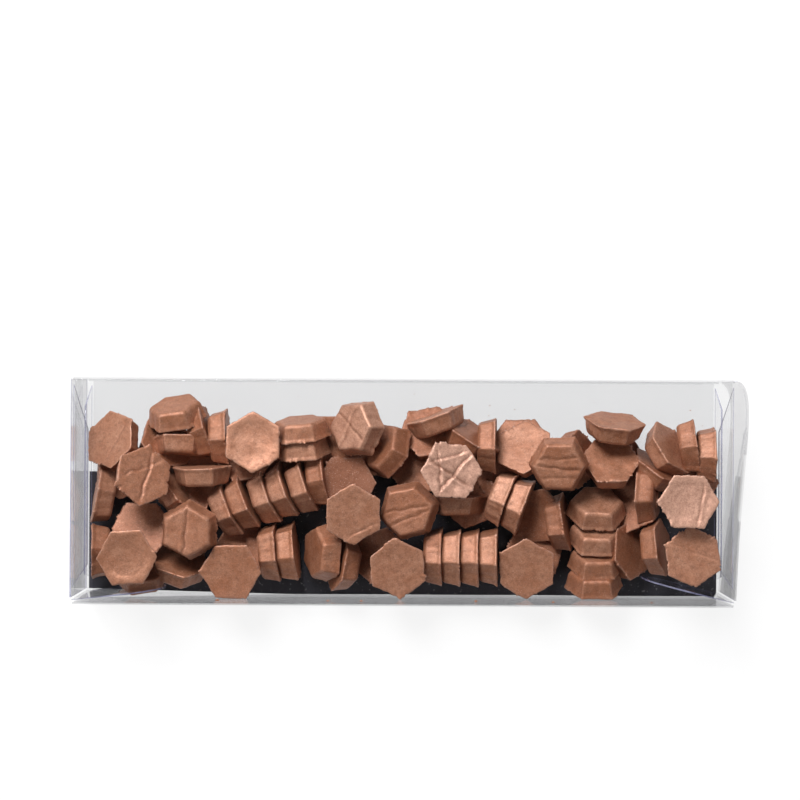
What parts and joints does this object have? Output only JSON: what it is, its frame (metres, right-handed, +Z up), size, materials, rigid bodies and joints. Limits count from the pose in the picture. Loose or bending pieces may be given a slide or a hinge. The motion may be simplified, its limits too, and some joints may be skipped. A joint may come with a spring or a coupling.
{
  "type": "sealing wax bead carton",
  "caption": "Clear tuck-end carton on its labelled side, filled with loose hexagonal copper wax beads for melting into letter seals; both ends open.",
  "frame": {"origin": "middle of the label's underside projected on the carton's centre: the point of the resting plane below the middle of the carton", "axes": "+X along the carton's length towards the end that bulges, +Y across it from the foot side to the head side, +Z up from the labelled base panel to the face panel"},
  "size_m": [0.1283, 0.043, 0.0222],
  "materials": {
    "film": "clear glossy film",
    "label": "dark satin label",
    "wax": "satin copper wax"
  },
  "bodies": {
    "carton": {"face_panel": "film", "base_panel": "film", "head_panel": "film", "foot_panel": "film", "glue_flap": "film", "base_label": "label", "bead_01": "wax", "bead_02": "wax", "bead_03": "wax", "bead_04": "wax", "bead_05": "wax", "bead_06": "wax", "bead_07": "wax", "bead_08": "wax", "bead_09": "wax", "bead_10": "wax", "bead_11": "wax", "bead_12": "wax", "bead_13": "wax", "bead_14": "wax", "bead_15": "wax", "bead_16": "wax", "bead_17": "wax", "bead_18": "wax", "bead_19": "wax", "bead_20": "wax", "bead_21": "wax", "bead_22": "wax", "bead_23": "wax", "bead_24": "wax", "bead_25": "wax", "bead_26": "wax", "bead_27": "wax", "bead_28": "wax", "bead_29": "wax", "bead_30": "wax", "bead_31": "wax", "bead_32": "wax", "bead_33": "wax", "bead_34": "wax", "bead_36": "wax", "bead_37": "wax", "bead_38": "wax", "bead_40": "wax", "bead_41": "wax", "bead_46": "wax"},
    "left_end_panel_body": {"left_end_panel": "film"},
    "left_tuck_flap_body": {"left_tuck_flap": "film"},
    "left_face_dust_flap_body": {"left_face_dust_flap": "film"},
    "left_base_dust_flap_body": {"left_base_dust_flap": "film"},
    "right_end_panel_body": {"right_end_panel": "film"},
    "right_tuck_flap_body": {"right_tuck_flap": "film"},
    "right_face_dust_flap_body": {"right_face_dust_flap": "film"},
    "right_base_dust_flap_body": {"right_base_dust_flap": "film"},
    "bead_35_body": {"bead_35": "wax"},
    "bead_39_body": {"bead_39": "wax"},
    "bead_42_body": {"bead_42": "wax"},
    "bead_43_body": {"bead_43": "wax"},
    "bead_44_body": {"bead_44": "wax"},
    "bead_45_body": {"bead_45": "wax"}
  },
  "joints": [
    {"name": "left_end_hinge", "type": "hinge", "parent": "carton", "child": "left_end_panel_body", "pos_m": [-0.06285, 0.02135, 0], "axis": [0, 0, -1], "range_deg": [0, 175]},
    {"name": "left_tuck_fold", "type": "hinge", "parent": "left_end_panel_body", "child": "left_tuck_flap_body", "pos_m": [-0.06285, -0.02065, 0], "axis": [0, 0, 1], "range_deg": [0, 47.75]},
    {"name": "left_face_dust_hinge", "type": "hinge", "parent": "carton", "child": "left_face_dust_flap_body", "pos_m": [-0.06235, 0, 0.022], "axis": [0, 1, 0], "range_deg": [0, 96.75]},
    {"name": "left_base_dust_hinge", "type": "hinge", "parent": "carton", "child": "left_base_dust_flap_body", "pos_m": [-0.06185, 0, 0.0003], "axis": [0, -1, 0], "range_deg": [0, 88]},
    {"name": "right_end_hinge", "type": "hinge", "parent": "carton", "child": "right_end_panel_body", "pos_m": [0.06285, 0.02135, 0], "axis": [0, 0, 1], "range_deg": [0, 135]},
    {"name": "right_tuck_fold", "type": "hinge", "parent": "right_end_panel_body", "child": "right_tuck_flap_body", "pos_m": [0.06285, -0.02065, 0], "axis": [0, 0, -1], "range_deg": [0, 20.75]},
    {"name": "right_face_dust_hinge", "type": "hinge", "parent": "carton", "child": "right_face_dust_flap_body", "pos_m": [0.06235, 0, 0.022], "axis": [0, -1, 0], "range_deg": [0, 101.75]},
    {"name": "right_base_dust_hinge", "type": "hinge", "parent": "carton", "child": "right_base_dust_flap_body", "pos_m": [0.06185, 0, 0.0003], "axis": [0, 1, 0], "range_deg": [0, 81.5]},
    {"name": "bead_35_lift", "type": "slide", "parent": "carton", "child": "bead_35_body", "axis": [0, 0, 1], "range_m": [0, 0.0062]},
    {"name": "bead_39_lift", "type": "slide", "parent": "carton", "child": "bead_39_body", "axis": [0, 0, 1], "range_m": [0, 0.007]},
    {"name": "bead_42_lift", "type": "slide", "parent": "carton", "child": "bead_42_body", "axis": [0, 0, 1], "range_m": [0, 0.007]},
    {"name": "bead_43_lift", "type": "slide", "parent": "carton", "child": "bead_43_body", "axis": [0, 0, 1], "range_m": [0, 0.0108]},
    {"name": "bead_44_lift", "type": "slide", "parent": "carton", "child": "bead_44_body", "axis": [0, 0, 1], "range_m": [0, 0.0062]},
    {"name": "bead_45_lift", "type": "slide", "parent": "carton", "child": "bead_45_body", "axis": [0, 0, 1], "range_m": [0, 0.0066]}
  ],
  "couplings": [
    {"joint": "left_tuck_fold", "follows": "left_end_hinge", "ratio": 0.27},
    {"joint": "left_face_dust_hinge", "follows": "left_end_hinge", "ratio": 0.55},
    {"joint": "left_base_dust_hinge", "follows": "left_end_hinge", "ratio": 0.5},
    {"joint": "right_tuck_fold", "follows": "right_end_hinge", "ratio": 0.15},
    {"joint": "right_face_dust_hinge", "follows": "right_end_hinge", "ratio": 0.75},
    {"joint": "right_base_dust_hinge", "follows": "right_end_hinge", "ratio": 0.6}
  ]
}
